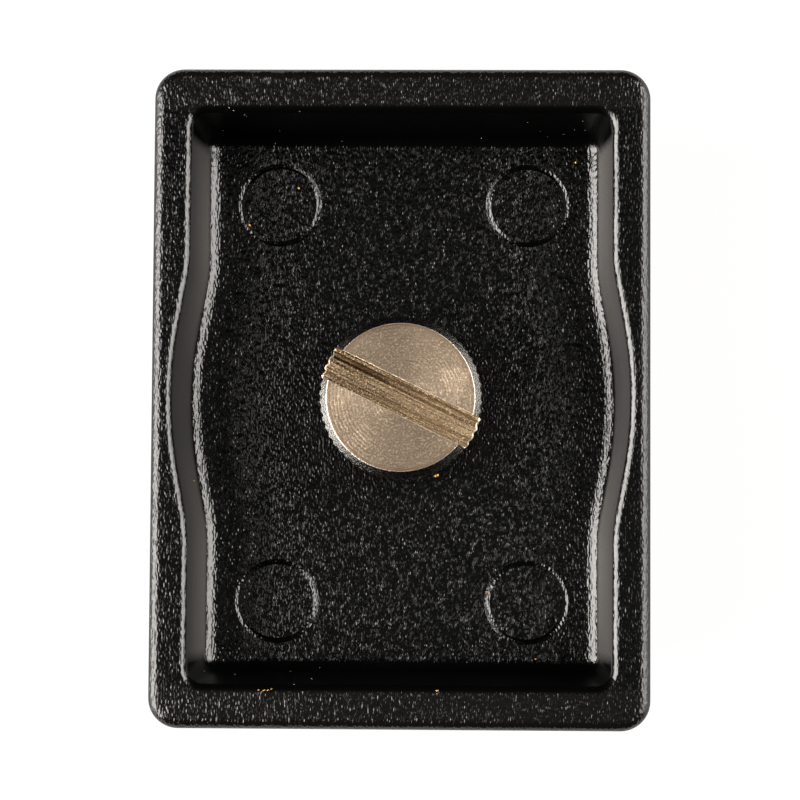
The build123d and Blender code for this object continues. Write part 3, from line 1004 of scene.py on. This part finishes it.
class PLATE_OT_dust(bpy.types.Operator):
    """Let grains of brass and specks of pale dust lie on the paint."""

    bl_idname = "plate.dust"
    bl_label = "Scatter the Dust"

    def execute(self, context):
        dust = context.scene.plate_dust
        tree = fleck_tree()
        kinds = (
            ("brass_dust", BRASS_GRAINS, "plated_brass", (dust.brass, 1.0, 0.45)),
            ("pale_dust", PALE_GRAINS, "crinkle_paint", (dust.pale, 0.0, 0.9)),
        )
        for seed, (name, grains, slot, looks) in enumerate(kinds):
            material = plain_material(name, *looks)
            values = {"Flatness": dust.flatness, "Seed": seed, "Material": material}
            mesh = grown(name, self.landed(context, grains), tree, values)
            new_piece(name, mesh, material, "plate")
        return {"FINISHED"}

    def landed(self, context, grains):
        """Points where grains lie on the paint, with the size and the surface under each."""
        casting = bpy.data.objects["painted_casting"]
        paint = BVHTree.FromObject(casting, context.evaluated_depsgraph_get())
        above = RIM_LEVEL + 10.0 * MM
        down = Vector((0, 0, -1))
        hits = [
            (*paint.ray_cast(Vector((across * MM, along * MM, above)), down)[:2], size * MM)
            for across, along, size in grains
        ]
        mesh = bpy.data.meshes.new("grains")
        mesh.from_pydata([place for place, _, _ in hits], [], [])
        mesh.attributes.new("surface", "FLOAT_VECTOR", "POINT")
        mesh.attributes.new("size", "FLOAT", "POINT")
        for index, (_, normal, size) in enumerate(hits):
            mesh.attributes["surface"].data[index].vector = normal
            mesh.attributes["size"].data[index].value = size
        return mesh


class PLATE_OT_pad(bpy.types.Operator):
    """Mould the ribbed rubber pad with soft edges."""

    bl_idname = "plate.pad"
    bl_label = "Mould the Friction Pad"

    def execute(self, context):
        pad = context.scene.plate_pad
        mesh = merged_copy("friction_pad")
        flat = math.radians(1)
        with editing(mesh) as bm:
            bmesh.ops.dissolve_limit(bm, angle_limit=flat, verts=bm.verts, edges=bm.edges)
        piece = new_piece("rubber_pad", mesh, pad_rubber(pad), "plate")
        bevel = piece.modifiers.new("moulded edges", "BEVEL")
        bevel.width = pad.edge
        bevel.segments = 3
        bevel.limit_method = "ANGLE"
        bevel.angle_limit = math.radians(PAD_SHARP)
        smooth_faces(mesh, PAD_SHARP)
        weigh_normals(piece)
        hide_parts("friction_pad")
        return {"FINISHED"}


class PLATE_OT_ring(bpy.types.Operator):
    """Give the retaining ring its spring steel."""

    bl_idname = "plate.ring"
    bl_label = "Finish the Retaining Ring"

    def execute(self, context):
        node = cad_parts["retaining_ring"]
        steel = spring_steel(context.scene.plate_ring)
        for slot in node.material_slots:
            slot.material = steel
        return {"FINISHED"}


class PLATE_OT_stage(bpy.types.Operator):
    """Lay the table, hang the side panels and aim the camera."""

    bl_idname = "plate.stage"
    bl_label = "Set the Stage"

    def execute(self, context):
        stage = context.scene.plate_stage
        self.floor(stage)
        self.lights(stage)
        self.world(context.scene)
        self.camera(context.scene, stage)
        context.scene.view_settings.view_transform = "Standard"
        return {"FINISHED"}

    def floor(self, stage):
        """Round table that the camera sees as white and that keeps the object's shadow."""
        sheet = new_material("studio_table")
        rays = sheet.add("ShaderNodeLightPath").outputs
        seen = sheet.math("MAXIMUM", rays["Is Camera Ray"], rays["Is Transmission Ray"])
        lit = sheet.add("ShaderNodeBsdfDiffuse", {"Color": stage.floor})

        # Mostly a glow, with a dim part that takes the shadow
        dim = sheet.add("ShaderNodeBsdfDiffuse", {"Color": (0.16, 0.16, 0.16)})
        glow = sheet.add("ShaderNodeEmission", {"Color": (1, 1, 1), "Strength": 0.87})
        white = sheet.add("ShaderNodeAddShader", {0: dim, 1: glow})
        mesh = bpy.data.meshes.new("table")
        with editing(mesh) as bm:
            bmesh.ops.create_circle(bm, cap_ends=True, segments=TABLE_SIDES, radius=TABLE_RADIUS)
        shader = sheet.add("ShaderNodeMixShader", {0: seen, 1: lit, 2: white})
        mesh.materials.append(close_material(sheet, shader))
        table = linked("table", mesh)

    def panel(self, name, axes, reach, width, height, radiance):
        """Rectangular light at some reach along its own Z axis, which faces the object."""
        data = bpy.data.lights.new(name, "AREA")
        data.shape = "RECTANGLE"
        data.size = width
        data.size_y = height
        # An area light's radiance is its energy over four times its area
        data.energy = 4 * width * height * radiance
        data.color = LAMP_COLOUR
        light = linked(name, data)
        light.location = reach * axes.col[2]
        light.rotation_euler = axes.to_euler()
        light.visible_camera = False

    def lights(self, stage):
        """A bank of panels on each side, dimmest at the top, and a dim card above."""
        half_spread = math.radians(26)
        turn = Matrix.Rotation(stage.turn, 3, "Z")
        along = turn @ Vector((0, 1, 0))
        width = 2 * PANEL_REACH * math.tan(half_spread)

        # Lowest and highest elevation in degrees, then the brightness left and right
        bands = (
            (2, 13, 4.6, 1.7),
            (13, 26, 8.6, 3.5),
            (26, 40, 7.0, 5.4),
            (40, 52, 6.0, 5.4),
            (52, 66, 0.9, 0.7),
        )
        for low, high, left, right in bands:
            middle = math.radians((low + high) / 2)
            height = 2 * PANEL_REACH * math.tan(math.radians((high - low) / 2))
            for name, side, brightness in (("left", -1, left), ("right", 1, right)):
                back = turn @ Vector((side * math.cos(middle), 0, math.sin(middle)))
                axes = Matrix((along, back.cross(along), back)).transposed()
                radiance = stage.panels * brightness
                self.panel(f"{name}_{low}", axes, PANEL_REACH, width, height, radiance)
        level = Matrix.Identity(3)
        self.panel("top_card", level, CARD_HEIGHT, CARD_SIZE, CARD_SIZE, stage.fill)

    def world(self, scene):
        """Dark room that only the camera sees as white."""
        world = bpy.data.worlds.new("studio")
        world.use_nodes = True
        world.node_tree.nodes.clear()
        sheet = NodeSheet(world.node_tree)
        rays = sheet.add("ShaderNodeLightPath").outputs
        dark, white = 0.005, 1.0
        strength = sheet.ramp(rays["Is Camera Ray"], 0.0, 1.0, dark, white)
        air = sheet.add("ShaderNodeBackground", {"Color": (1, 1, 1), "Strength": strength})
        sheet.add("ShaderNodeOutputWorld", {"Surface": air})
        scene.world = world

    def camera(self, scene, stage):
        """Looks straight down into the pocket, leaning a little."""
        swing = Matrix.Rotation(-stage.swing, 3, "Y")
        level_right, level_up, back = swing @ Matrix.Rotation(-stage.tilt, 3, "X")
        right = math.cos(stage.roll) * level_right + math.sin(stage.roll) * level_up
        up = -math.sin(stage.roll) * level_right + math.cos(stage.roll) * level_up
        data = bpy.data.cameras.new("photo_camera")
        data.sensor_width = SENSOR_WIDTH
        data.lens = SENSOR_WIDTH * PIXELS_PER_METRE * stage.distance / IMAGE_SIZE
        data.shift_x = 0.5 - IMAGE_CENTRE[0] / IMAGE_SIZE
        data.shift_y = IMAGE_CENTRE[1] / IMAGE_SIZE - 0.5
        data.clip_start = 0.01
        data.clip_end = 10.0
        camera = linked("photo_camera", data)
        matrix = Matrix((right, up, back)).transposed().to_4x4()
        matrix.translation = Vector((0, 0, RIM_LEVEL)) + stage.distance * back
        camera.matrix_world = matrix
        scene.camera = camera


class PLATE_PT_panel(bpy.types.Panel):
    """Lists the steps that build the plate's looks."""

    bl_idname = "PLATE_PT_panel"
    bl_label = "Quick Release Plate"
    bl_space_type = "VIEW_3D"
    bl_region_type = "UI"
    bl_category = "Plate"

    def draw(self, context):
        for operator in OPERATORS:
            self.layout.operator(operator.bl_idname)


GROUPS = {
    "plate_paint": PaintSettings,
    "plate_screw": ScrewSettings,
    "plate_dust": DustSettings,
    "plate_pad": PadSettings,
    "plate_ring": RingSettings,
    "plate_stage": StageSettings,
}
OPERATORS = (
    PLATE_OT_casting,
    PLATE_OT_screw,
    PLATE_OT_dust,
    PLATE_OT_pad,
    PLATE_OT_ring,
    PLATE_OT_stage,
)
CLASSES = (*GROUPS.values(), *OPERATORS, PLATE_PT_panel)


def register():
    """Makes the settings, the steps and the panel known."""
    for item in CLASSES:
        bpy.utils.register_class(item)
    for name, group in GROUPS.items():
        setattr(bpy.types.Scene, name, PointerProperty(type=group))


def unregister():
    """Takes everything away again."""
    for name in GROUPS:
        delattr(bpy.types.Scene, name)
    for item in reversed(CLASSES):
        bpy.utils.unregister_class(item)


def main():
    """Runs the steps in order."""
    register()
    bpy.ops.plate.casting()
    bpy.ops.plate.screw()
    bpy.ops.plate.dust()
    bpy.ops.plate.pad()
    bpy.ops.plate.ring()
    bpy.ops.plate.stage()


if __name__ == "__main__":
    main()
